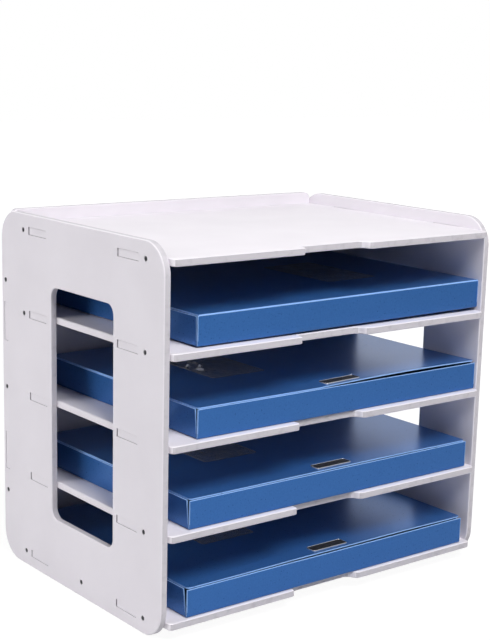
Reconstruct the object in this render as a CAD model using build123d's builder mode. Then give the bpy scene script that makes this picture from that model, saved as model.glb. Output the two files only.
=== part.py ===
"""Desk document rack of tab-and-slot board, with a folded, lidded A4 document box on each shelf.

Millimetres, +Z up. The open front of the rack faces -Y. The origin lies on the desk,
midway across the rack's width and depth.
"""
import os

from build123d import *

# Document boxes, each folded from one coloured sheet, with a lid that lies on top
box_width = 309.0
box_depth = 225.0
box_height = 25.0            # lid included
sheet = 1.0
fold_radius = 0.8            # outside of the folds round the floor
wall_drop = 1.0              # front and side walls stop this far below the lid
slit_foot = 0.5              # corner slits between the walls, at the floor
slit_mouth = 2.2             # and at the top of the walls
hinge_gap = 0.3              # crease between the spine and the lid
lid_inset = 0.8              # lid's edges inside the walls
lid_corner = 3.0

# Name plate and clear card pocket on each lid
plate_length = 38.0
plate_width = 11.0
plate_thickness = 0.8
plate_corner = 2.0
plate_setback = 4.0          # from the lid's front edge
pocket_length = 92.0         # runs from front to rear
pocket_width = 56.0
pocket_film = 0.5
pocket_corner = 3.0
pocket_setback = 72.0        # from the lid's front edge
pocket_margin = 68.0         # from the lid's left edge

# Rack boards
board = 6.0                  # thickness of every panel, shelf and the back
bay_height = 66.0
box_side_play = 29.0         # room beside a box in its bay, both sides together
box_depth_play = 19.0        # room before and behind a box on its shelf
box_lift = 0.2               # running gap under a box
foot_height = 10.0           # side panels reach this far below the bottom board
top_rim = 11.0               # side panels and back rise this far above the top board
front_overhang = 4.0         # boards stand this far in front of the side panels
rear_inset = 4.0             # side panels reach this far behind the back panel
panel_corner = 25.0
back_corner = 6.0
board_corner = 4.0
edge_chamfer = 0.7           # softened edges of panels and boards

# Finger recess in the front edge of every board: a step at its left, an S-curve at its right
recess_depth = 9.0
recess_left = 42.0           # step, left of the middle
recess_right = 20.0          # start of the curve, right of the middle
recess_curve = 13.0          # width of the curve
recess_corner = 1.5

# Side windows
window_border = 56.5         # panel above and below the window
window_strip = 7.0           # panel between the window and the tab slots
window_corner = 9.0

# Tabs of the boards in the slots of the side panels
tab_length = 28.0
tab_spacing = 138.0
back_tab_length = 34.0
back_tab_spacing = 118.0
slot_gap = 0.3               # round every tab
slot_end_gap = 1.2           # behind every board tab
tab_recess = 0.4             # tab ends lie below the panel's outer face

# Self-tapping screws through the side panels
screw_sides = 10             # round stock and holes this small are cut with so many sides
screw_margin = 10.0          # from a board's tab to its screw
back_screw_margin = 20.0     # from a back tab to its screw
head_radius = 2.0
head_height = 1.6
head_sink = 0.3              # head's top below the panel's outer face
head_gap = 0.2
shank_radius = 1.2
shank_length = 14.0
shank_gap = 0.2
tip_length = 2.0
tip_taper = 24.0             # degrees, each side of the tip

# Boards from the desk up, with the screws of each in one side panel: -1 front, 0 middle, 1 rear
board_screws = {
    "bottom_board": (-1, 0, 1),
    "lower_shelf": (-1,),
    "middle_shelf": (),
    "upper_shelf": (-1, 1),
    "top_board": (-1, 1),
}

# Boxes from the desk up: share of the side play (-1 left to 1 right), share of the depth play
# that lies in front of the box, and 1 for a box that faces forward or -1 for one turned round
box_places = {
    "bottom_box": (0.24, 0.14, 1),
    "lower_box": (0.44, 0.26, 1),
    "middle_box": (0.95, 0.33, 1),
    "upper_box": (0.96, 0.44, -1),
}

# Sizes that follow from the ones above
bay_width = box_width + box_side_play
shelf_depth = box_depth + box_depth_play
rack_width = bay_width + 2 * board
panel_depth = shelf_depth - front_overhang + board + rear_inset
rack_depth = panel_depth + front_overhang
bay_pitch = bay_height + board
panel_height = foot_height + board + len(box_places) * bay_pitch + top_rim
half_height = panel_height / 2

board_front = -rack_depth / 2
board_rear = board_front + shelf_depth
shelf_middle = (board_front + board_rear) / 2
panel_middle = board_front + front_overhang + panel_depth / 2
back_middle = board_rear + board / 2

window_width = tab_spacing - tab_length - 2 * window_strip
window_height = panel_height - 2 * window_border
tab_reach = board - tab_recess
slot_length = slot_gap + tab_length + slot_end_gap
slot_shift = (slot_end_gap - slot_gap) / 2
screw_reach = tab_spacing / 2 + tab_length / 2 + screw_margin
back_screw_reach = back_tab_spacing / 2 + back_tab_length / 2 + back_screw_margin
head_depth = head_sink + head_height
screw_depth = head_depth + shank_length + tip_length
pilot_depth = screw_depth + shank_gap - board

lid_width = box_width - 2 * lid_inset
lid_front = -box_depth / 2 + lid_inset
wall_height = box_height - sheet - wall_drop
spine_height = box_height - sheet - hinge_gap

undersides = [foot_height + level * bay_pitch for level in range(len(board_screws))]
board_tabs = [shelf_middle - tab_spacing / 2, shelf_middle + tab_spacing / 2]
back_tabs = [half_height - back_tab_spacing / 2, half_height + back_tab_spacing / 2]
back_screws = [(back_middle, half_height + place * back_screw_reach) for place in (-1, 0, 1)]
sides = {"left": -1, "right": 1}


def side_seats(side, points, depth=0.0):
    """Planes at (y, z) points that look outwards from a side panel, below its face by depth."""
    x = side * (rack_width / 2 - depth)
    return [Plane(origin=(x, y, z), x_dir=(0, side, 0), z_dir=(side, 0, 0)) for y, z in points]


def screw_points(underside, places):
    """The (y, z) points of a board's screws."""
    return [(shelf_middle + place * screw_reach, underside + board / 2) for place in places]


def write(builder, name):
    """Labels a finished piece and writes its STEP file."""
    builder.part.label = name
    export_step(builder.part, f"parts/{name}.step")


os.makedirs("parts", exist_ok=True)
shelf_screws = [
    point
    for underside, places in zip(undersides, board_screws.values())
    for point in screw_points(underside, places)
]

# Side panels: rounded board with a window, tab slots and stepped screw holes
for side_name, side in sides.items():
    (outer_face,) = side_seats(side, [(0, 0)])
    with BuildPart() as side_panel:
        with BuildSketch(outer_face):
            with Locations((side * panel_middle, half_height)):
                RectangleRounded(panel_depth, panel_height, panel_corner)
            with Locations((side * shelf_middle, half_height)):
                RectangleRounded(window_width, window_height, window_corner, mode=Mode.SUBTRACT)
        extrude(amount=-board)
        chamfer(side_panel.edges().filter_by(Axis.X, reverse=True), edge_chamfer)
        with BuildSketch(outer_face):
            slot_places = [(y + slot_shift, z + board / 2) for z in undersides for y in board_tabs]
            with Locations(*[(side * y, z) for y, z in slot_places]):
                Rectangle(slot_length, board + 2 * slot_gap)
            with Locations(*[(side * back_middle, z) for z in back_tabs]):
                Rectangle(board + 2 * slot_gap, back_tab_length + 2 * slot_gap)
        extrude(amount=-board, mode=Mode.SUBTRACT)
        for radius, depth in ((head_radius + head_gap, head_depth), (shank_radius + shank_gap, board)):
            with BuildSketch(*side_seats(side, shelf_screws + back_screws)):
                RegularPolygon(radius, screw_sides)
            extrude(amount=-depth, mode=Mode.SUBTRACT)
    write(side_panel, f"{side_name}_side_panel")

# Bottom board, shelves and top board: one shape, with a finger recess and four tabs
for (board_name, places), underside in zip(board_screws.items(), undersides):
    with BuildPart() as shelf:
        with BuildSketch(Plane.XY.offset(underside)) as plan:
            recess_back = board_front + recess_depth
            curve_half = (recess_right + recess_curve / 2, board_front + recess_depth / 2)
            curve_front = (recess_right + recess_curve, board_front)
            with BuildLine():
                Polyline(
                    (-bay_width / 2, board_rear),
                    (-bay_width / 2, board_front),
                    (-recess_left, board_front),
                    (-recess_left, recess_back),
                    (recess_right, recess_back),
                )
                back_arc = TangentArc((recess_right, recess_back), curve_half, tangent=(1, 0))
                TangentArc(curve_half, curve_front, tangent=back_arc % 1)
                Polyline(
                    curve_front,
                    (bay_width / 2, board_front),
                    (bay_width / 2, board_rear),
                    (-bay_width / 2, board_rear),
                )
            make_face()
            front_points = plan.vertices().group_by(Axis.Y)[0].sort_by(Axis.X)
            fillet([front_points[0], front_points[-1]], board_corner)
            step_points = plan.vertices().sort_by_distance((-recess_left, board_front + recess_depth / 2))
            fillet(step_points[:2], recess_corner)
        extrude(amount=board)
        chamfer(shelf.edges().filter_by(Axis.Z, reverse=True), edge_chamfer)
        with BuildSketch(Plane.XY.offset(underside)):
            tab_x = (bay_width + tab_reach) / 2
            with Locations(*[(side * tab_x, y) for side in sides.values() for y in board_tabs]):
                Rectangle(tab_reach, tab_length)
        extrude(amount=board)
        if places:
            for side in sides.values():
                with BuildSketch(*side_seats(side, screw_points(underside, places), board)):
                    RegularPolygon(shank_radius + shank_gap, screw_sides)
                extrude(amount=-pilot_depth, mode=Mode.SUBTRACT)
    write(shelf, board_name)

# Back panel: stands between the side panels and rises above the top board as a rim
with BuildPart() as back_panel:
    with BuildSketch(Plane.XZ.offset(-board_rear)):
        with Locations((0, half_height)):
            RectangleRounded(bay_width, panel_height, back_corner)
    extrude(amount=-board)
    chamfer(back_panel.edges().filter_by(Axis.Y, reverse=True), edge_chamfer)
    with BuildSketch(Plane.XZ.offset(-board_rear)):
        tab_x = (bay_width + tab_reach) / 2
        with Locations(*[(side * tab_x, z) for side in sides.values() for z in back_tabs]):
            Rectangle(tab_reach, back_tab_length)
    extrude(amount=-board)
    for side in sides.values():
        with BuildSketch(*side_seats(side, back_screws, board)):
            RegularPolygon(shank_radius + shank_gap, screw_sides)
        extrude(amount=-pilot_depth, mode=Mode.SUBTRACT)
write(back_panel, "back_panel")

# Screws, in one group for each run of holes
for side_name, side in sides.items():
    for group_name, points in (("shelf", shelf_screws), ("back", back_screws)):
        with BuildPart() as screws:
            with BuildSketch(*side_seats(side, points, head_sink)):
                RegularPolygon(head_radius, screw_sides)
            extrude(amount=-head_height)
            with BuildSketch(*side_seats(side, points, head_depth)):
                RegularPolygon(shank_radius, screw_sides)
            extrude(amount=-shank_length)
            with BuildSketch(*side_seats(side, points, head_depth + shank_length)):
                RegularPolygon(shank_radius, screw_sides)
            extrude(amount=-tip_length, taper=tip_taper)
        write(screws, f"{side_name}_{group_name}_screws")

# Document boxes, each with a tray, a lid, a name plate and a card pocket
for (box_name, (side_share, depth_share, facing)), underside in zip(box_places.items(), undersides):
    box_x = side_share * box_side_play / 2
    box_y = board_front + depth_share * box_depth_play + box_depth / 2
    seat = Plane(origin=(box_x, box_y, underside + board + box_lift), x_dir=(facing, 0, 0))
    lid_top = seat.offset(box_height)

    # Tray: floor, front wall and spine, and side walls cut back to leave a slit at each corner
    with BuildPart() as tray:
        with BuildSketch(seat):
            Rectangle(box_width, box_depth)
        extrude(amount=sheet)
        for wall_end, height in ((-1, wall_height), (1, spine_height)):
            with BuildSketch(seat):
                with Locations((0, wall_end * (box_depth - sheet) / 2)):
                    Rectangle(box_width, sheet)
            extrude(amount=height)
        wall_half = box_depth / 2 - sheet
        side_planes = [
            Plane(origin=seat.from_local_coords((x, 0, 0)), x_dir=seat.y_dir, z_dir=seat.x_dir)
            for x in (-box_width / 2, box_width / 2 - sheet)
        ]
        with BuildSketch(*side_planes):
            with BuildLine():
                Polyline(
                    (-wall_half + slit_foot, 0),
                    (wall_half - slit_foot, 0),
                    (wall_half - slit_mouth, wall_height),
                    (-wall_half + slit_mouth, wall_height),
                    close=True,
                )
            make_face()
        extrude(amount=sheet)
        fillet(tray.edges().group_by(Axis.Z)[0], fold_radius)
    write(tray, f"{box_name}_tray")

    # Lid: flat sheet whose rear edge is rounded about the crease it turns on
    with BuildPart() as lid:
        crease = (box_depth - sheet) / 2
        left_end = Plane(
            origin=seat.from_local_coords((-lid_width / 2, 0, box_height - sheet / 2)),
            x_dir=seat.y_dir,
            z_dir=seat.x_dir,
        )
        with BuildSketch(left_end):
            with Locations(((lid_front + crease) / 2, 0)):
                Rectangle(crease - lid_front, sheet)
            with Locations((crease, 0)):
                Circle(sheet / 2)
        extrude(amount=lid_width)
        front_edges = lid.edges().filter_by(Axis.Z).sort_by(Axis(seat.origin, seat.y_dir))[:2]
        fillet(front_edges, lid_corner)
    write(lid, f"{box_name}_lid")

    # Name plate at the middle of the lid's front edge
    with BuildPart() as plate:
        with BuildSketch(lid_top):
            with Locations((0, lid_front + plate_setback + plate_width / 2)):
                RectangleRounded(plate_length, plate_width, plate_corner)
        extrude(amount=plate_thickness)
    write(plate, f"{box_name}_plate")

    # Clear card pocket, welded flat on the left of the lid
    with BuildPart() as pocket:
        with BuildSketch(lid_top):
            pocket_x = -lid_width / 2 + pocket_margin + pocket_width / 2
            with Locations((pocket_x, lid_front + pocket_setback + pocket_length / 2)):
                RectangleRounded(pocket_width, pocket_length, pocket_corner)
        extrude(amount=pocket_film)
    write(pocket, f"{box_name}_pocket")
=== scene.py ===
"""Dresses a packed desk document rack: boards, folded boxes, name plates, pockets, screws and a studio.

Laid out as an add-on. Metres, +Z up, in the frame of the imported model, whose open front faces -Y.
"""
import math

import bmesh
import bpy
from bpy.props import FloatProperty, FloatVectorProperty, IntProperty, PointerProperty
from mathutils import Matrix, Vector, noise


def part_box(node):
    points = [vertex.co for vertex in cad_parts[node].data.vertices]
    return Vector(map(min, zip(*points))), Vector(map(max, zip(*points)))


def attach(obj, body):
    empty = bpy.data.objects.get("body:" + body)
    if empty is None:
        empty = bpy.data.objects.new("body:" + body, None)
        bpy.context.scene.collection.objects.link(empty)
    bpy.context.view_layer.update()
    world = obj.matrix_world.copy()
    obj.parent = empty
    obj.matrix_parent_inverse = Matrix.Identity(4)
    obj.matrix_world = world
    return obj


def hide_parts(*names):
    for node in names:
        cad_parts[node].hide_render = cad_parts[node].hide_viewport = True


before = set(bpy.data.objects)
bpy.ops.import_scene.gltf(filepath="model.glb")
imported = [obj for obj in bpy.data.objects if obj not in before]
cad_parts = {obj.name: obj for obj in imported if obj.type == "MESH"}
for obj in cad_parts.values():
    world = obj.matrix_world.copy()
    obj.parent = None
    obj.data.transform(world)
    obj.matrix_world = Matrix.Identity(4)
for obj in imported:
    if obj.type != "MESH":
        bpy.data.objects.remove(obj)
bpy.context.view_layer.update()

bl_info = {
    "name": "Document Rack",
    "version": (1, 0, 0),
    "blender": (4, 5, 0),
    "location": "3D View > Sidebar > Document Rack",
    "description": "Finishes a desk document rack and sets up its studio",
    "category": "Object",
}

MM = 0.001
BOXES = ("bottom_box", "lower_box", "middle_box", "upper_box")
X_AXIS, Y_AXIS, Z_AXIS = 0, 1, 2
BOARDS = {
    "left_side_panel": X_AXIS,
    "right_side_panel": X_AXIS,
    "back_panel": Y_AXIS,
    "bottom_board": Z_AXIS,
    "lower_shelf": Z_AXIS,
    "middle_shelf": Z_AXIS,
    "upper_shelf": Z_AXIS,
    "top_board": Z_AXIS,
}
SCREWS = ("left_shelf_screws", "left_back_screws", "right_shelf_screws", "right_back_screws")
HEAD_HEIGHT, SHANK_RADIUS, SHANK_LENGTH = 1.6 * MM, 1.2 * MM, 15 * MM
SHARP = math.radians(35)  # edges that turn more than this stay sharp
CUT_LEAN = 0.6  # a face is cut where its normal has less than this along the board's thickness and along X
FOLD_ANGLES = (0, 22.5, 45, 67.5, 90)  # steps of the fold between floor and wall, in degrees
CREASE_ANGLES = (-60, -30, 0, 30, 60)  # steps of a lid's round rear edge, in degrees
PLATE_PROFILE = ((0, 0), (0, 0.75), (0.12, 1.0), (0.32, 1.0), (0.45, 0.75))  # inset in mm, share of thickness
FLOOR_REACH, FLOOR_DROP = 6, 0.3 * MM
SOFTBOX_SIZE = 1.0
LIT_POINT = (0, 0, 0.15)  # what the lamps look at


def colour(name, description, default):
    """A colour property."""
    return FloatVectorProperty(
        name=name, description=description, subtype="COLOR", size=3, min=0, max=1, default=default
    )


def length(name, description, default):
    """A length property."""
    return FloatProperty(name=name, description=description, unit="LENGTH", default=default)


def angle(name, description, degrees):
    """An angle property."""
    return FloatProperty(
        name=name, description=description, subtype="ANGLE", default=math.radians(degrees)
    )


def power(name, description, default):
    """A lamp's power property."""
    return FloatProperty(name=name, description=description, subtype="POWER", default=default)


def per_box(name, description, default, unit="LENGTH"):
    """A property with a value for each box."""
    return FloatVectorProperty(
        name=name, description=description + ", bottom box first", unit=unit, size=4, default=default
    )


class BoardFinish(bpy.types.PropertyGroup):
    """Colours and surface of the foam boards."""

    face_light: colour("Face light", "Lighter tone of the board's skin", (0.825, 0.79, 0.84))
    face_dark: colour("Face dark", "Darker tone of the board's skin", (0.79, 0.755, 0.805))
    edge_light: colour("Cut edge", "Board where it was cut", (0.60, 0.575, 0.615))
    edge_dark: colour("Cut edge cells", "Open foam cells and dust in the cut edges", (0.52, 0.495, 0.535))
    mottle_size: length("Mottle", "Size of the tone patches in the skin", 60 * MM)
    grain_size: length("Grain", "Size of the skin's grain", 0.5 * MM)
    cell_size: length("Foam cells", "Size of the open cells in the cut edges", 0.8 * MM)


class BoxForm(bpy.types.PropertyGroup):
    """Shape and colours of the folded boxes."""

    sheet_light: colour("Sheet light", "Lighter tone of the coloured sheet", (0.040, 0.160, 0.455))
    sheet_dark: colour("Sheet dark", "Darker tone of the coloured sheet", (0.033, 0.136, 0.405))
    # Pale blue of the cut edges and folds: partly stress whitening, partly a painted highlight on the rounded
    # rims.
    edge_highlight_colour: colour("Cut edge", "Stressed folds and cut edges of the sheet", (0.29, 0.51, 0.91))
    fold_radius: length("Fold radius", "Outside of the folds round the floor", 1.3 * MM)
    wall_wave: length("Wall waves", "How far the walls wander from flat", 0.35 * MM)
    lid_wave: length("Lid waves", "How far the lids wander from flat", 0.25 * MM)
    bow_height: per_box(
        "Lid bow", "Rise of each lid's front edge",
        (0.8 * MM, 0.4 * MM, 2.1 * MM, 0.3 * MM),
    )
    bow_peak: per_box(
        "Bow peak", "Where each lid rises most, from 0 at its left to 1 at its right",
        (0.70, 0.60, 0.76, 0.5), "NONE",
    )
    bow_reach: per_box(
        "Bow reach", "Share of each lid's width from the peak of the rise to its end",
        (0.5, 0.5, 0.36, 0.5), "NONE",
    )
    bow_depth: length("Bow depth", "How far behind the front edge the rise runs out", 150 * MM)
    left_lift: per_box(
        "Left lift", "How far each box's left end stands up from its shelf",
        (0, 0, 0, 0.8 * MM),
    )
    right_lift: per_box(
        "Right lift", "How far each box's right end stands up from its shelf",
        (0, 0, 0, 2.6 * MM),
    )
    wall_gap: per_box(
        "Wall gap", "Gap between each lid and the walls",
        (0.7 * MM, 0.3 * MM, 0.2 * MM, 0.4 * MM),
    )
    # The pale line is partly a painted highlight along the wall tops and cut ends.
    pale_highlight_edge: length("Pale edge", "Width of the pale line along the cut edges", 0.45 * MM)
    slit_mouth: per_box(
        "Slit mouth", "Corner slits at the top of the walls",
        (4.4 * MM, 2.8 * MM, 2.8 * MM, 1.8 * MM),
    )


class TrimFinish(bpy.types.PropertyGroup):
    """Name plates, card pockets and screws."""

    plate_colour: colour("Plate", "Enamel of the name plates", (0.012, 0.012, 0.014))
    rim_colour: colour("Plate rim", "Metal rim of the name plates", (0.60, 0.60, 0.62))
    film_colour: colour("Film", "Clear film of the card pockets", (0.27, 0.27, 0.275))
    # White of the mouth creases: a painted highlight for light caught on them.
    crease_highlight_colour: colour("Folds", "Film where it is folded white", (0.86, 0.86, 0.88))
    film_crinkle: length("Film crinkle", "Height of the creases in the film", 0.9 * MM)
    mouth_crinkle: per_box(
        "Mouth crinkle", "Height of the creases along the mouth of each pocket",
        (1.2 * MM, 1.4 * MM, 2.6 * MM, 0.6 * MM),
    )
    screw_colour: colour("Screw", "Dark plated steel of the screws", (0.06, 0.06, 0.065))
    screw_head: length("Screw head", "Radius of a screw's head", 2.0 * MM)
    screw_seed: IntProperty(name="Screw seed", description="Turns of the screws' slots", default=7)


class StageLook(bpy.types.PropertyGroup):
    """Camera, floor and studio light."""

    camera_place: FloatVectorProperty(
        name="Camera",
        description="Where the camera stands",
        subtype="TRANSLATION",
        size=3,
        default=(-0.76305, -0.96948, 0.46081),
    )
    camera_yaw: angle("Yaw", "Turn to the right of straight back", 38.637)
    camera_pitch: angle("Pitch", "Tilt below the horizon", 12.633)
    camera_roll: angle("Roll", "Lean of the camera", 1.498)
    camera_lens: FloatProperty(name="Lens", description="Focal length in millimetres", default=79.369)
    camera_shift: FloatVectorProperty(
        name="Shift", description="Shift of the frame across and up", size=2, default=(-0.01762, 0.06151)
    )
    floor_colour: colour("Floor", "Floor that the rack stands on", (0.72, 0.72, 0.73))
    ambient: FloatProperty(name="Ambient", description="Light from all round", default=0.02)
    key_power: power("Key light", "Softbox high at the front left", 49)
    side_power: power("Side light", "Softbox at the left", 16.5)
    fill_power: power("Fill light", "Matt light behind at the right", 7)


def set_inputs(tree, node, values):
    """Sets each input of a node to a value, or links it to a socket."""
    for name, value in values.items():
        if isinstance(value, bpy.types.NodeSocket):
            tree.links.new(value, node.inputs[name])
        else:
            node.inputs[name].default_value = value


def add_node(tree, kind, settings=(), inputs=()):
    """A new node with its settings and inputs."""
    made = tree.nodes.new(kind)
    for name, value in dict(settings).items():
        setattr(made, name, value)
    set_inputs(tree, made, dict(inputs))
    return made


def start_material(name):
    """A new material with its node tree, its shader and its object coordinates."""
    material = bpy.data.materials.new(name)
    material.use_nodes = True
    tree = material.node_tree
    return material, tree, tree.nodes["Principled BSDF"], add_node(tree, "ShaderNodeTexCoord")


def grain(tree, vector, size, detail=2.0):
    """Noise from 0 to 1 with features about that size across."""
    made = add_node(tree, "ShaderNodeTexNoise", {}, {"Vector": vector, "Scale": 1 / size, "Detail": detail})
    return made.outputs["Fac"]


def cells(tree, vector, size):
    """Distance from the middle of the nearest cell."""
    made = add_node(tree, "ShaderNodeTexVoronoi", {}, {"Vector": vector, "Scale": 1 / size})
    return made.outputs["Distance"]


def ramp(tree, factor, first, second, start=0.3, end=0.7):
    """A colour that runs from the first to the second as the factor grows."""
    made = add_node(tree, "ShaderNodeValToRGB", {}, {"Fac": factor})
    for stop, place, tone in zip(made.color_ramp.elements, (start, end), (first, second)):
        stop.position = place
        stop.color = (*tone, 1)
    return made.outputs["Color"]


def spread(tree, factor, low, high):
    """A number that runs from low to high over the middle half of the factor."""
    made = add_node(tree, "ShaderNodeMapRange", {}, {
        "Value": factor, "From Min": 0.25, "From Max": 0.75, "To Min": low, "To Max": high,
    })
    return made.outputs["Result"]


def blend_colours(tree, factor, first, second):
    """The first colour where the factor is 0, the second where it is 1."""
    made = add_node(tree, "ShaderNodeMix", {"data_type": "RGBA"})
    tree.links.new(factor, made.inputs["Factor"])
    tree.links.new(first, made.inputs[6])
    tree.links.new(second, made.inputs[7])
    return made.outputs[2]


def blend_numbers(tree, factor, first, second):
    """The first number where the factor is 0, the second where it is 1."""
    made = add_node(tree, "ShaderNodeMix", {"data_type": "FLOAT"})
    for socket, value in zip((0, 2, 3), (factor, first, second)):
        tree.links.new(value, made.inputs[socket])
    return made.outputs[0]


def bump(tree, height, distance, strength=1.0):
    """A normal that follows the height."""
    made = add_node(
        tree, "ShaderNodeBump", {}, {"Height": height, "Distance": distance, "Strength": strength}
    )
    return made.outputs["Normal"]


def foam_board(axis):
    """Satin white foam board of that axis of thickness, with open cells where its mesh is marked as cut."""
    look = bpy.context.scene.rack_board
    material, tree, shader, coords = start_material("foam_board_" + "xyz"[axis])
    place = coords.outputs["Object"]
    cut = add_node(tree, "ShaderNodeAttribute", {"attribute_name": "cut"}).outputs["Fac"]
    skin_grain = grain(tree, place, look.grain_size)
    edge_cells = cells(tree, place, look.cell_size)
    dust = grain(tree, place, 9 * look.cell_size, 5.0)
    skin = ramp(tree, grain(tree, place, look.mottle_size, 3.0), look.face_dark, look.face_light)
    edge = ramp(tree, dust, look.edge_dark, look.edge_light, 0.28, 0.46)
    height = blend_numbers(tree, cut, skin_grain, edge_cells)
    set_inputs(tree, shader, {
        "Base Color": blend_colours(tree, cut, skin, edge),
        "Roughness": blend_numbers(
            tree, cut, spread(tree, skin_grain, 0.38, 0.48), spread(tree, dust, 0.55, 0.70)
        ),
        "Normal": bump(tree, height, 0.05 * MM),
        "Specular IOR Level": 0.42,
    })
    return material


def pearl_sheet():
    """Pearly blue plastic sheet with a fine frosted grain."""
    look = bpy.context.scene.rack_boxes
    material, tree, shader, coords = start_material("pearl_sheet")
    place = coords.outputs["Object"]
    speck = grain(tree, place, 1.4 * MM, 2.0)
    tone = ramp(tree, speck, look.sheet_dark, look.sheet_light, 0.25, 0.75)
    set_inputs(tree, shader, {
        "Base Color": tone,
        "Roughness": spread(tree, speck, 0.27, 0.33),
        "Metallic": 0.5,
        "Normal": bump(tree, speck, 0.008 * MM),
        "Specular IOR Level": 0.35,
    })
    return material


def sheet_edge_with_highlight():
    """Cut edge of the sheet, pale where the blade stressed it, and a painted highlight for light on the
    rounded rims and folds.
    """
    look = bpy.context.scene.rack_boxes
    material, tree, shader, coords = start_material("sheet_edge_highlight")
    wear_and_highlight = grain(tree, coords.outputs["Object"], 6 * MM, 4.0)
    set_inputs(tree, shader, {
        "Base Color": ramp(tree, wear_and_highlight, look.sheet_light, look.edge_highlight_colour, 0.1, 0.36),
        "Roughness": spread(tree, wear_and_highlight, 0.35, 0.5),
        "Normal": bump(tree, wear_and_highlight, 0.05 * MM),
    })
    return material


def plate_enamel():
    """Black enamel with faint rubbing marks."""
    look = bpy.context.scene.rack_trim
    material, tree, shader, coords = start_material("plate_enamel")
    rubbed = grain(tree, coords.outputs["Object"], 3 * MM, 4.0)
    worn = tuple(2.5 * part for part in look.plate_colour)
    set_inputs(tree, shader, {
        "Base Color": ramp(tree, rubbed, look.plate_colour, worn, 0.45, 0.8),
        "Roughness": spread(tree, rubbed, 0.35, 0.5),
        "Normal": bump(tree, rubbed, 0.02 * MM),
        "Specular IOR Level": 0.25,
    })
    return material


def plate_rim():
    """Brushed metal rim of a name plate."""
    look = bpy.context.scene.rack_trim
    material, tree, shader, coords = start_material("plate_rim")
    stretch = add_node(
        tree, "ShaderNodeMapping", {}, {"Vector": coords.outputs["Object"], "Scale": (0.05, 1, 1)}
    )
    brushed = grain(tree, stretch.outputs["Vector"], 0.3 * MM, 3.0)
    dull = tuple(0.6 * part for part in look.rim_colour)
    set_inputs(tree, shader, {
        "Base Color": ramp(tree, brushed, dull, look.rim_colour),
        "Roughness": spread(tree, brushed, 0.25, 0.42),
        "Metallic": 1.0,
        "Normal": bump(tree, brushed, 0.01 * MM),
    })
    return material


def pocket_film(name, thinnest, thickest):
    """Limp clear film with fine creases, that hides between those shares of what lies below. Where the fold
    attribute is set it turns white and nearly opaque: a painted highlight on the creases.
    """
    look = bpy.context.scene.rack_trim
    material, tree, shader, coords = start_material(name)
    creases = grain(tree, coords.outputs["Object"], 7 * MM, 3.0)
    pale = tuple(1.25 * part for part in look.film_colour)
    # The fold attribute marks a painted highlight on the creases.
    fold = add_node(tree, "ShaderNodeAttribute", {"attribute_name": "fold"}).outputs["Fac"]
    clear = ramp(tree, creases, look.film_colour, pale)
    painted_crease_white = ramp(tree, creases, tuple(0.9 * part for part in look.crease_highlight_colour), look.crease_highlight_colour)
    set_inputs(tree, shader, {
        "Base Color": blend_colours(tree, fold, clear, painted_crease_white),
        "Roughness": spread(tree, creases, 0.08, 0.2),
        "Normal": bump(tree, creases, 0.25 * MM),
        "Alpha": blend_numbers(
            tree, fold, spread(tree, creases, thinnest, thickest), spread(tree, creases, 0.85, 0.95)
        ),
    })
    return material


def screw_steel():
    """Dark plated steel."""
    look = bpy.context.scene.rack_trim
    material, tree, shader, coords = start_material("screw_steel")
    spots = grain(tree, coords.outputs["Object"], 0.6 * MM, 3.0)
    bright = tuple(2.2 * part for part in look.screw_colour)
    set_inputs(tree, shader, {
        "Base Color": ramp(tree, spots, look.screw_colour, bright),
        "Roughness": spread(tree, spots, 0.38, 0.55),
        "Metallic": 0.85,
        "Normal": bump(tree, spots, 0.01 * MM),
    })
    return material


def material_named(name, make, *arguments):
    """The material of that name, made if it isn't there yet."""
    return bpy.data.materials.get(name) or make(*arguments)


def sheet_materials():
    """The sheet and its cut edge, whose pale tone is partly a painted highlight."""
    return [material_named("pearl_sheet", pearl_sheet), material_named("sheet_edge_highlight", sheet_edge_with_highlight)]


class BoxPlace:
    """One box, read from its nodes: x to its right, y to its rear and z up, from the middle of its floor."""

    def __init__(self, name):
        self.name = name
        self.order = BOXES.index(name)
        low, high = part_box(f"{name}_tray")
        plate_low, plate_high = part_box(f"{name}_plate")
        self.origin = Vector(((low.x + high.x) / 2, (low.y + high.y) / 2, low.z))
        self.facing = 1 if (plate_low.y + plate_high.y) / 2 < self.origin.y else -1
        self.width, self.depth = high.x - low.x, high.y - low.y
        lid_low, lid_high = self.local_box(f"{name}_lid")
        self.lid_low, self.lid_high = lid_low, lid_high
        self.sheet = lid_high.z - lid_low.z
        self.crease_y = lid_high.y - self.sheet / 2
        self.crease_z = lid_high.z - self.sheet / 2

    def local_box(self, node):
        """Lowest and highest corner of a node in the box's own directions."""
        corners = [self.to_box(corner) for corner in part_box(node)]
        return Vector(map(min, *corners)), Vector(map(max, *corners))

    def to_box(self, point):
        """A point of the frame in the box's own directions."""
        offset = point - self.origin
        return Vector((self.facing * offset.x, self.facing * offset.y, offset.z))

    def to_frame(self, point):
        """A point in the box's own directions, in the frame."""
        form = bpy.context.scene.rack_boxes
        x, y, z = self.facing * point[0], self.facing * point[1], point[2]
        left, right = form.left_lift[self.order], form.right_lift[self.order]
        return self.origin + Vector((x, y, z + left + (right - left) * (0.5 + x / self.width)))

    def lid_rise(self, x, y):
        """How far the lid's skin stands above flat: bowed up along the front edge, with faint waves."""
        form = bpy.context.scene.rack_boxes
        across = (x - self.lid_low.x) / (self.lid_high.x - self.lid_low.x)
        hump = max(0, 1 - ((across - form.bow_peak[self.order]) / form.bow_reach[self.order]) ** 2)
        run_out = max(0, 1 - (y - self.lid_low.y) / form.bow_depth)
        held = clamp((self.crease_y - y) / form.bow_depth)
        wave = noise.noise(Vector((x, y, self.order)) * 14)
        return form.bow_height[self.order] * hump * run_out**2 + form.lid_wave * held * wave


def clamp(value):
    """The value, kept between 0 and 1."""
    return min(1, max(0, value))


def spaced(start, end, count):
    """Evenly spaced numbers, both ends included."""
    return [start + (end - start) * step / (count - 1) for step in range(count)]


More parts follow.
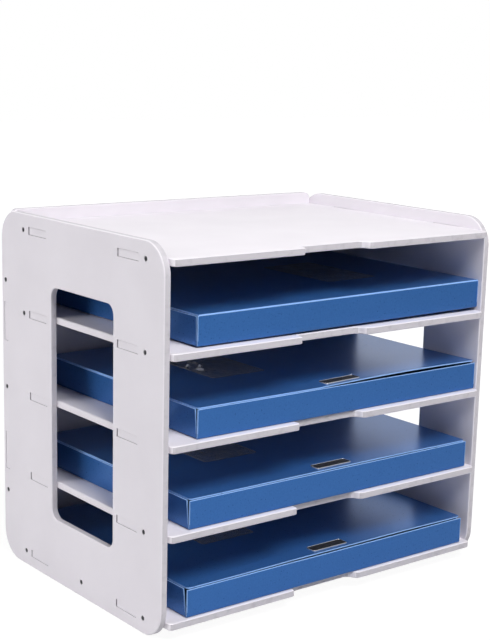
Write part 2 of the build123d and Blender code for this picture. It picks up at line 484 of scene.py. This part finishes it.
def grid_faces(rows, columns, first=0):
    """Quads of a grid of points, counted row by row."""
    return [
        (first + r * columns + c, first + r * columns + c + 1,
         first + (r + 1) * columns + c + 1, first + (r + 1) * columns + c)
        for r in range(rows - 1)
        for c in range(columns - 1)
    ]


def make_piece(name, points, faces, materials, slots=None, sharp=SHARP):
    """A mesh object with its place in its mesh, smooth but for its sharp edges."""
    mesh = bpy.data.meshes.new(name)
    mesh.from_pydata([tuple(point) for point in points], [], faces)
    for material in materials:
        mesh.materials.append(material)
    if slots:
        mesh.polygons.foreach_set("material_index", slots)
    mesh.shade_smooth()
    mesh.set_sharp_from_angle(angle=sharp)
    piece = bpy.data.objects.new(name, mesh)
    bpy.context.scene.collection.objects.link(piece)
    return piece


def apply_modifiers(piece):
    """Turns what the modifiers make into the piece's own plain mesh."""
    depsgraph = bpy.context.evaluated_depsgraph_get()
    mesh = bpy.data.meshes.new_from_object(piece.evaluated_get(depsgraph), depsgraph=depsgraph)
    mesh.name = piece.name
    piece.modifiers.clear()
    piece.data = mesh


def dress(piece, body, node):
    """Lets a finished piece stand for a node, on its body."""
    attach(piece, body)
    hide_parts(node)


def merge_points(piece):
    """Joins the points that lie on each other."""
    shape = bmesh.new()
    shape.from_mesh(piece.data)
    bmesh.ops.remove_doubles(shape, verts=shape.verts, dist=0.01 * MM)
    shape.to_mesh(piece.data)
    shape.free()


def tray_wall(place, side, height, ends):
    """Points of a wall's outer skin, row by row from the floor up: ends gives its reach at a height."""
    form = bpy.context.scene.rack_boxes
    radius = form.fold_radius
    along_x = side in ("front", "spine")
    reach = (place.width if along_x else place.depth) / 2
    gap = (place.depth if along_x else place.width) / 2
    bend = [math.radians(degrees) for degrees in FOLD_ANGLES]
    profile = [(radius * (1 - math.sin(turn)), radius * (1 - math.cos(turn))) for turn in bend]
    profile += [(0, z) for z in spaced(radius, height - form.pale_highlight_edge, 8)[1:]] + [(0, height)]
    columns = 35 if along_x else 27
    edge = form.pale_highlight_edge
    points = []
    for row, (inset, z) in enumerate(profile):
        start, end = (-reach + radius, reach - radius) if row == 0 else ends(z)
        for s in [start, *spaced(start + edge, end - edge, columns - 2), end]:
            wave = noise.noise(Vector((s * 18, z * 30, place.order + gap * 10))) * form.wall_wave * z / height
            out = gap - inset + wave
            points.append({
                "front": (s, -out, z),
                "right": (out, s, z),
                "spine": (-s, out, z),
                "left": (-out, -s, z),
            }[side])
    return points, len(profile), columns


def fold_tray(place, materials):
    """Tray folded from one sheet: floor, front wall, spine and side walls, with a slit at each corner."""
    form = bpy.context.scene.rack_boxes
    half_width, half_depth = place.width / 2, place.depth / 2
    wall_top = place.lid_low.z - form.wall_gap[place.order]
    spine_top = place.crease_z - 0.2 * place.sheet
    foot, mouth = 0.5 * MM, form.slit_mouth[place.order]

    def full(z):
        return -half_width, half_width

    def cut_back(z):
        slit = foot + (mouth - foot) * z / wall_top
        reach = half_depth - place.sheet - slit
        return -reach, reach

    edge = form.pale_highlight_edge
    end_x, end_y = half_width - form.fold_radius, half_depth - form.fold_radius
    floor_x = [-end_x, *spaced(-end_x + edge, end_x - edge, 33), end_x]
    floor_y = [end_y, *spaced(end_y - edge, -end_y + edge, 25), -end_y]
    points = [(x, y, 0) for y in floor_y for x in floor_x]
    faces = grid_faces(len(floor_y), len(floor_x))
    slots = [0] * len(faces)
    for side, height, ends in (
        ("front", wall_top, full), ("right", wall_top, cut_back),
        ("spine", spine_top, full), ("left", wall_top, cut_back),
    ):
        wall, rows, columns = tray_wall(place, side, height, ends)
        faces += grid_faces(rows, columns, len(points))
        points += wall
        # The top row and the cut ends of each wall take the pale edge material, partly a painted highlight.
        slots += [
            int(row == rows - 2 or (row >= len(FOLD_ANGLES) and column in (0, columns - 2)))
            for row in range(rows - 1)
            for column in range(columns - 1)
        ]
    piece = make_piece(
        f"{place.name}_folded_tray", [place.to_frame(point) for point in points], faces, materials, slots
    )
    merge_points(piece)
    wall = piece.modifiers.new("sheet", "SOLIDIFY")
    wall.thickness = place.sheet
    wall.offset = -1
    wall.use_even_offset = True
    # The cut rims take the pale edge material too, partly a painted highlight.
    wall.material_offset_rim = 1
    apply_modifiers(piece)
    piece.data.set_sharp_from_angle(angle=SHARP)
    return piece


def lay_lid(place, materials):
    """Lid with round front corners and a bowed front edge, its rear edge rounded about the crease."""
    low, high = place.lid_low, place.lid_high
    corner = 3 * MM
    half = (high.x - low.x) / 2
    middle = (low.x + high.x) / 2
    rows = [
        (low.y + corner * (1 - math.cos(turn)), half - corner * (1 - math.sin(turn)))
        for turn in spaced(0, math.pi / 2, 7)
    ]
    rows += [(y, half) for y in spaced(low.y + corner, place.crease_y, 40)[1:]]
    columns = 61
    points = []
    for face in (-1, 1):
        for y, reach in rows:
            for x in spaced(middle - reach, middle + reach, columns):
                rise = place.lid_rise(x, y)
                points.append((x, y, place.crease_z + face * place.sheet / 2 + rise))
    count = len(rows) * columns
    underside = [tuple(reversed(face)) for face in grid_faces(len(rows), columns)]
    faces = underside + grid_faces(len(rows), columns, count)
    slots = [0] * len(faces)

    # The lid's rims and its rounded crease take the pale edge material, partly a painted highlight.
    def rim(path):
        for a, b in zip(path, path[1:]):
            faces.append((a, b, b + count, a + count))
            slots.append(1)

    last = (len(rows) - 1) * columns
    rim(list(range(columns)))
    rim([r * columns + columns - 1 for r in range(len(rows))])
    rim([r * columns for r in reversed(range(len(rows)))])
    rings = [list(range(last, last + columns))]
    for degrees in CREASE_ANGLES:
        turn = math.radians(degrees)
        ring = []
        for x in spaced(middle - half, middle + half, columns):
            ring.append(len(points))
            y = place.crease_y + place.sheet / 2 * math.cos(turn)
            points.append((x, y, place.crease_z + place.sheet / 2 * math.sin(turn)))
        rings.append(ring)
    rings.append([index + count for index in rings[0]])
    for under, over in zip(rings, rings[1:]):
        for c in range(columns - 1):
            faces.append((under[c + 1], under[c], over[c], over[c + 1]))
            slots.append(1)
    for c in (0, columns - 1):
        ends = [ring[c] for ring in rings]
        faces.append(tuple(ends) if c else tuple(reversed(ends)))
        slots.append(1)
    return make_piece(
        f"{place.name}_bowed_lid", [place.to_frame(point) for point in points], faces, materials, slots
    )


def rounded_outline(half_x, half_y, corner, steps=6):
    """Points round a rectangle with round corners, anticlockwise."""
    points = []
    for quarter, (sx, sy) in enumerate(((1, 1), (-1, 1), (-1, -1), (1, -1))):
        for turn in spaced(quarter * math.pi / 2, (quarter + 1) * math.pi / 2, steps):
            points.append((
                sx * (half_x - corner) + corner * math.cos(turn),
                sy * (half_y - corner) + corner * math.sin(turn),
            ))
    return points


def fix_plate(place, materials):
    """Enamelled plate with a raised metal rim, laid on the lid's front edge."""
    low, high = place.local_box(f"{place.name}_plate")
    middle = (low + high) / 2
    half_x, half_y, thick = (high.x - low.x) / 2, (high.y - low.y) / 2, high.z - low.z
    corner = 2 * MM
    points, faces, slots = [], [], []
    for inset, level in PLATE_PROFILE:
        for x, y in rounded_outline(half_x - inset * MM, half_y - inset * MM, corner - inset * MM):
            x, y = middle.x + x, middle.y + y
            points.append((x, y, low.z + level * thick + place.lid_rise(x, y)))
    count = len(points) // len(PLATE_PROFILE)
    for ring in range(len(PLATE_PROFILE) - 1):
        for step in range(count):
            a, b = ring * count + step, ring * count + (step + 1) % count
            faces.append((a, b, b + count, a + count))
            slots.append(1)
    faces.append(tuple(range(len(points) - count, len(points))))
    faces.append(tuple(reversed(range(count))))
    slots += [0, 0]
    return make_piece(
        f"{place.name}_name_plate", [place.to_frame(point) for point in points], faces, materials, slots
    )


def weld_pocket(place, materials):
    """Card pocket of limp film: flat where it is welded round its edge, creased between, with a painted
    highlight on the mouth creases kept in its fold attribute.
    """
    look = bpy.context.scene.rack_trim
    low, high = place.local_box(f"{place.name}_pocket")
    middle = (low + high) / 2
    half_x, half_y = (high.x - low.x) / 2, (high.y - low.y) / 2
    corner, weld, film, clearance = 3 * MM, 4 * MM, 0.15 * MM, 0.1 * MM
    mouth_reach, mouth_fade, mouth_middle, mouth_half = 24 * MM, 14 * MM, -3 * MM, 32 * MM
    crinkle = look.mouth_crinkle[place.order]
    share = crinkle / max(look.mouth_crinkle)
    columns, rows = 57, 93
    points, crease_highlight_share = [], []
    for v in spaced(-half_y, half_y, rows):
        for u in spaced(-half_x, half_x, columns):
            x, y = u, v
            over_x, over_y = abs(u) - (half_x - corner), abs(v) - (half_y - corner)
            if over_x > 0 and over_y > 0:
                s, t = over_x / corner, over_y / corner
                x = math.copysign(half_x - corner + corner * s * math.sqrt(1 - t * t / 2), u)
                y = math.copysign(half_y - corner + corner * t * math.sqrt(1 - s * s / 2), v)
            edge = min(half_x - abs(x), half_y - abs(y))
            loose = clamp((edge - weld) / (8 * MM))
            spot = Vector((x * 45, y * 32, place.order * 5.3))
            ridge = 1 - abs(noise.noise(spot)) * 2
            crease = max(0, ridge) ** 3 + 0.4 * noise.noise(spot * 2.7)
            mouth = clamp((mouth_reach - half_x - x) / mouth_fade)
            mouth *= max(0, 1 - ((y - mouth_middle) / mouth_half) ** 2)
            folds = max(0, noise.noise(Vector((x * 210, y * 150, place.order * 3.1))))
            folds *= min(1, edge / (2 * MM))
            lift = film + clearance + look.film_crinkle * loose * max(0, 0.35 + 0.65 * crease)
            lift += 2.6 * crinkle * mouth * folds
            px, py = middle.x + x, middle.y + y
            points.append((px, py, low.z + lift + place.lid_rise(px, py)))
            # Painted highlight on the mouth creases, read by the film material.
            crease_highlight_share.append(clamp(4 * share * mouth * folds - 0.45))
    slots = [
        int(row in (0, rows - 2) or column in (0, columns - 2))
        for row in range(rows - 1)
        for column in range(columns - 1)
    ]
    piece = make_piece(
        f"{place.name}_film_pocket",
        [place.to_frame(point) for point in points], grid_faces(rows, columns), materials, slots, math.pi,
    )
    piece.data.attributes.new("fold", "FLOAT", "POINT").data.foreach_set("value", crease_highlight_share)
    wall = piece.modifiers.new("film", "SOLIDIFY")
    wall.thickness = film
    wall.offset = -1
    apply_modifiers(piece)
    return piece


def screw_nodes(material):
    """Node tree that sets a cross-head screw at each point, its slot turned at random."""
    tree = bpy.data.node_groups.new("cross_head_screws", "GeometryNodeTree")
    tree.interface.new_socket("Geometry", in_out="INPUT", socket_type="NodeSocketGeometry")
    for name, kind in (
        ("Head Radius", "Float"), ("Head Height", "Float"), ("Shank Radius", "Float"),
        ("Shank Length", "Float"), ("Outwards", "Vector"), ("Seed", "Int"),
    ):
        tree.interface.new_socket(name, in_out="INPUT", socket_type="NodeSocket" + kind)
    tree.interface.new_socket("Geometry", in_out="OUTPUT", socket_type="NodeSocketGeometry")
    given = add_node(tree, "NodeGroupInput").outputs
    crown_share, slot_reach, slot_width = 0.85, 1.3, 0.28  # of the head's radius

    def math_node(operation, a, b):
        return add_node(tree, "ShaderNodeMath", {"operation": operation}, {0: a, 1: b}).outputs[0]

    def lowered(geometry, depth):
        shift = add_node(tree, "ShaderNodeCombineXYZ", {}, {"Z": math_node("MULTIPLY", depth, -1.0)})
        moved = add_node(
            tree, "GeometryNodeTransform", {}, {"Geometry": geometry, "Translation": shift.outputs[0]}
        )
        return moved.outputs[0]

    def joined(*geometries):
        made = add_node(tree, "GeometryNodeJoinGeometry")
        for geometry in geometries:
            tree.links.new(geometry, made.inputs[0])
        return made.outputs[0]

    head = add_node(tree, "GeometryNodeMeshCone", {}, {
        "Vertices": 24, "Radius Top": math_node("MULTIPLY", given["Head Radius"], crown_share),
        "Radius Bottom": given["Head Radius"], "Depth": given["Head Height"],
    })
    shank = add_node(tree, "GeometryNodeMeshCylinder", {}, {
        "Vertices": 12, "Radius": given["Shank Radius"], "Depth": given["Shank Length"],
    })
    half_shank = math_node("MULTIPLY", given["Shank Length"], 0.5)
    head = lowered(head.outputs["Mesh"], given["Head Height"])
    arm = math_node("MULTIPLY", given["Head Radius"], slot_reach)
    thin = math_node("MULTIPLY", given["Head Radius"], slot_width)
    bars = []
    for x, y in ((arm, thin), (thin, arm)):
        size = add_node(tree, "ShaderNodeCombineXYZ", {}, {"X": x, "Y": y, "Z": given["Head Height"]})
        bars.append(add_node(tree, "GeometryNodeMeshCube", {}, {"Size": size.outputs[0]}).outputs["Mesh"])
    cross = add_node(tree, "GeometryNodeMeshBoolean", {"operation": "DIFFERENCE"}, {"Mesh 1": head})
    for bar in bars:
        tree.links.new(bar, cross.inputs["Mesh 2"])
    screw = joined(
        cross.outputs["Mesh"],
        lowered(shank.outputs["Mesh"], math_node("ADD", given["Head Height"], half_shank)),
    )
    turn = add_node(tree, "FunctionNodeRandomValue", {"data_type": "FLOAT"}, {"Seed": given["Seed"]})
    spin = add_node(tree, "FunctionNodeAxisAngleToRotation", {}, {
        "Axis": given["Outwards"], "Angle": math_node("MULTIPLY", turn.outputs[1], math.pi),
    })
    aim = add_node(tree, "FunctionNodeAlignRotationToVector", {"axis": "Z"}, {"Vector": given["Outwards"]})
    turned = add_node(
        tree, "FunctionNodeRotateRotation", {}, {"Rotation": aim.outputs[0], "Rotate By": spin.outputs[0]}
    )
    placed = add_node(tree, "GeometryNodeInstanceOnPoints", {}, {
        "Points": given["Geometry"], "Instance": screw, "Rotation": turned.outputs[0],
    })
    real = add_node(tree, "GeometryNodeRealizeInstances", {}, {"Geometry": placed.outputs[0]})
    finish = add_node(
        tree, "GeometryNodeSetMaterial", {}, {"Geometry": real.outputs[0], "Material": material}
    )
    add_node(tree, "NodeGroupOutput", {}, {"Geometry": finish.outputs[0]})
    return tree


def screw_seats(node):
    """Middle of each screw's head in a node, and the direction that the heads look in."""
    points = [vertex.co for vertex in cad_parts[node].data.vertices]
    outwards = math.copysign(1, points[0].x)
    top = max(outwards * point.x for point in points)
    skin, head_span = 0.1 * MM, 5 * MM
    groups = []
    for point in points:
        if outwards * point.x < top - skin:
            continue
        near = [group for group in groups if (group[0].yz - point.yz).length < head_span]
        if near:
            near[0].append(point)
        else:
            groups.append([point])
    seats = []
    for group in groups:
        low_y, high_y = min(p.y for p in group), max(p.y for p in group)
        low_z, high_z = min(p.z for p in group), max(p.z for p in group)
        seats.append(Vector((outwards * top, (low_y + high_y) / 2, (low_z + high_z) / 2)))
    return seats, Vector((outwards, 0, 0))


def mark_cut_edges(mesh, axis):
    """Marks the faces of a board's cut edges, but not its tab ends, in an attribute for its material."""
    cut = [
        float(max(abs(face.normal[X_AXIS]), abs(face.normal[axis])) < CUT_LEAN)
        for face in mesh.polygons
    ]
    mark = mesh.attributes.get("cut") or mesh.attributes.new("cut", "FLOAT", "FACE")
    mark.data.foreach_set("value", cut)


class DOCRACK_OT_finish_boards(bpy.types.Operator):
    """Gives the panels, shelves and back their foam-board finish"""

    bl_idname = "docrack.finish_boards"
    bl_label = "Finish boards"

    def execute(self, context):
        for node, axis in BOARDS.items():
            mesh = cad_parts[node].data
            mark_cut_edges(mesh, axis)
            mesh.materials.clear()
            mesh.materials.append(material_named("foam_board_" + "xyz"[axis], foam_board, axis))
        return {"FINISHED"}


class DOCRACK_OT_fold_trays(bpy.types.Operator):
    """Folds a tray for each box"""

    bl_idname = "docrack.fold_trays"
    bl_label = "Fold trays"

    def execute(self, context):
        materials = sheet_materials()
        for name in BOXES:
            dress(fold_tray(BoxPlace(name), materials), name, f"{name}_tray")
        return {"FINISHED"}


class DOCRACK_OT_lay_lids(bpy.types.Operator):
    """Lays a bowed lid on each box"""

    bl_idname = "docrack.lay_lids"
    bl_label = "Lay lids"

    def execute(self, context):
        materials = sheet_materials()
        for name in BOXES:
            dress(lay_lid(BoxPlace(name), materials), f"{name}_lid", f"{name}_lid")
        return {"FINISHED"}


class DOCRACK_OT_fix_plates(bpy.types.Operator):
    """Fixes a bare name plate on each lid"""

    bl_idname = "docrack.fix_plates"
    bl_label = "Fix name plates"

    def execute(self, context):
        materials = [material_named("plate_enamel", plate_enamel), material_named("plate_rim", plate_rim)]
        for name in BOXES:
            dress(fix_plate(BoxPlace(name), materials), f"{name}_lid", f"{name}_plate")
        return {"FINISHED"}


class DOCRACK_OT_weld_pockets(bpy.types.Operator):
    """Welds a film card pocket on each lid"""

    bl_idname = "docrack.weld_pockets"
    bl_label = "Weld card pockets"

    def execute(self, context):
        materials = [
            material_named("pocket_film", pocket_film, "pocket_film", 0.16, 0.4),
            material_named("pocket_weld", pocket_film, "pocket_weld", 0.4, 0.8),
        ]
        for name in BOXES:
            dress(weld_pocket(BoxPlace(name), materials), f"{name}_lid", f"{name}_pocket")
        return {"FINISHED"}


class DOCRACK_OT_drive_screws(bpy.types.Operator):
    """Drives a cross-head screw into each hole"""

    bl_idname = "docrack.drive_screws"
    bl_label = "Drive screws"

    def execute(self, context):
        look = context.scene.rack_trim
        steel = material_named("screw_steel", screw_steel)
        tree = screw_nodes(steel)
        for node in SCREWS:
            seats, outwards = screw_seats(node)
            if not seats:
                raise RuntimeError(f"no screw heads were found in {node}")
            piece = make_piece(f"{node}_cross_head", seats, [], [steel])
            modifier = piece.modifiers.new("screws", "NODES")
            modifier.node_group = tree
            values = {
                "Head Radius": look.screw_head, "Head Height": HEAD_HEIGHT, "Shank Radius": SHANK_RADIUS,
                "Shank Length": SHANK_LENGTH, "Outwards": outwards, "Seed": look.screw_seed,
            }
            for socket in tree.interface.items_tree:
                if socket.in_out == "INPUT" and socket.name in values:
                    modifier[socket.identifier] = values[socket.name]
            apply_modifiers(piece)
            dress(piece, "rack", node)
        return {"FINISHED"}


def studio_floor(look):
    """Pale floor, white to the camera, that keeps the rack's shadow."""
    material, tree, shader, coords = start_material("studio_floor")
    tint = tuple(0.97 * part for part in look.floor_colour)
    tone = ramp(tree, grain(tree, coords.outputs["Object"], 0.4), tint, look.floor_colour)
    set_inputs(tree, shader, {"Base Color": tone, "Roughness": 0.9, "Specular IOR Level": 0.1})
    path = add_node(tree, "ShaderNodeLightPath")
    white_share = 0.84
    share = add_node(
        tree, "ShaderNodeMath", {"operation": "MULTIPLY"}, {0: path.outputs["Is Camera Ray"], 1: white_share}
    )
    away = add_node(tree, "ShaderNodeVectorMath", {"operation": "LENGTH"}, {0: coords.outputs["Object"]})
    level = add_node(tree, "ShaderNodeMapRange", {}, {
        "Value": away.outputs["Value"], "From Min": 0.3, "From Max": 1.5, "To Min": 1.12, "To Max": 1.22,
    })
    glow = add_node(tree, "ShaderNodeEmission", {}, {
        "Color": (1, 1, 1, 1), "Strength": level.outputs["Result"],
    })
    mixed = add_node(tree, "ShaderNodeMixShader", {}, {0: share.outputs[0]})
    tree.links.new(shader.outputs[0], mixed.inputs[1])
    tree.links.new(glow.outputs[0], mixed.inputs[2])
    tree.links.new(mixed.outputs[0], tree.nodes["Material Output"].inputs["Surface"])
    return material


def studio_world(look):
    """World that is white to the camera, gloss and film, and a soft ambient light to the rest."""
    world = bpy.data.worlds.new("studio")
    bpy.context.scene.world = world
    world.use_nodes = True
    tree = world.node_tree
    tree.nodes.clear()
    path = add_node(tree, "ShaderNodeLightPath")
    seen = add_node(tree, "ShaderNodeMath", {"operation": "MAXIMUM"}, {
        0: path.outputs["Is Camera Ray"], 1: path.outputs["Is Glossy Ray"],
    })
    seen = add_node(tree, "ShaderNodeMath", {"operation": "MAXIMUM"}, {
        0: seen.outputs[0], 1: path.outputs["Is Transmission Ray"],
    })
    soft = add_node(tree, "ShaderNodeBackground", {}, {"Color": (1, 1, 1, 1), "Strength": look.ambient})
    white = add_node(tree, "ShaderNodeBackground", {}, {"Color": (1, 1, 1, 1), "Strength": 1.0})
    mixed = add_node(tree, "ShaderNodeMixShader", {}, {0: seen.outputs[0]})
    tree.links.new(soft.outputs[0], mixed.inputs[1])
    tree.links.new(white.outputs[0], mixed.inputs[2])
    add_node(tree, "ShaderNodeOutputWorld", {}, {"Surface": mixed.outputs[0]})


def softbox(name, place, watts, glossy=True):
    """Square soft light that looks at the rack, mirrored in glossy surfaces or not."""
    lamp = bpy.data.lights.new(name, "AREA")
    lamp.size = SOFTBOX_SIZE
    lamp.energy = watts
    holder = bpy.data.objects.new(name, lamp)
    holder.location = place
    holder.visible_glossy = glossy
    holder.rotation_euler = (Vector(LIT_POINT) - Vector(place)).to_track_quat("-Z", "Y").to_euler()
    bpy.context.scene.collection.objects.link(holder)


class DOCRACK_OT_set_stage(bpy.types.Operator):
    """Sets up the floor, the studio light and the camera"""

    bl_idname = "docrack.set_stage"
    bl_label = "Set stage"

    def execute(self, context):
        look = context.scene.rack_stage
        corners = [
            (FLOOR_REACH * x, FLOOR_REACH * y, -FLOOR_DROP) for x, y in ((-1, -1), (1, -1), (1, 1), (-1, 1))
        ]
        floor = make_piece("floor", corners, [(0, 1, 2, 3)], [studio_floor(look)])
        studio_world(look)
        softbox("key_softbox", (-0.2, -1.25, 1.95), look.key_power)
        softbox("side_softbox", (-1.7, 0.5, 0.8), look.side_power)
        softbox("fill_softbox", (1.5, 1.7, 1.2), look.fill_power, glossy=False)
        data = bpy.data.cameras.new("camera")
        data.lens = look.camera_lens
        data.sensor_width = 36
        data.shift_x, data.shift_y = look.camera_shift
        data.clip_start, data.clip_end = 0.05, 50
        camera = bpy.data.objects.new("camera", data)
        camera.matrix_world = (
            Matrix.Translation(look.camera_place)
            @ Matrix.Rotation(-look.camera_yaw, 4, "Z")
            @ Matrix.Rotation(math.pi / 2 - look.camera_pitch, 4, "X")
            @ Matrix.Rotation(look.camera_roll, 4, "Z")
        )
        context.scene.collection.objects.link(camera)
        context.scene.camera = camera
        context.scene.view_settings.view_transform = "Standard"
        return {"FINISHED"}


OPERATORS = (
    DOCRACK_OT_finish_boards,
    DOCRACK_OT_fold_trays,
    DOCRACK_OT_lay_lids,
    DOCRACK_OT_fix_plates,
    DOCRACK_OT_weld_pockets,
    DOCRACK_OT_drive_screws,
    DOCRACK_OT_set_stage,
)
SETTINGS = {
    "rack_board": BoardFinish,
    "rack_boxes": BoxForm,
    "rack_trim": TrimFinish,
    "rack_stage": StageLook,
}


class DOCRACK_PT_sidebar(bpy.types.Panel):
    """Steps and settings of the document rack"""

    bl_idname = "DOCRACK_PT_sidebar"
    bl_label = "Document Rack"
    bl_space_type = "VIEW_3D"
    bl_region_type = "UI"
    bl_category = "Document Rack"

    def draw(self, context):
        for operator in OPERATORS:
            self.layout.operator(operator.bl_idname)
        for name, group in SETTINGS.items():
            box = self.layout.box()
            for setting in group.__annotations__:
                box.prop(getattr(context.scene, name), setting)


def register():
    """Registers the settings, the operators and the panel."""
    for name, group in SETTINGS.items():
        bpy.utils.register_class(group)
        setattr(bpy.types.Scene, name, PointerProperty(type=group))
    for operator in OPERATORS:
        bpy.utils.register_class(operator)
    bpy.utils.register_class(DOCRACK_PT_sidebar)


def unregister():
    """Takes them away again."""
    bpy.utils.unregister_class(DOCRACK_PT_sidebar)
    for operator in reversed(OPERATORS):
        bpy.utils.unregister_class(operator)
    for name, group in SETTINGS.items():
        delattr(bpy.types.Scene, name)
        bpy.utils.unregister_class(group)


def main():
    """Runs every step in order."""
    register()
    for operator in OPERATORS:
        group, step = operator.bl_idname.split(".")
        getattr(getattr(bpy.ops, group), step)()


if __name__ == "__main__":
    main()
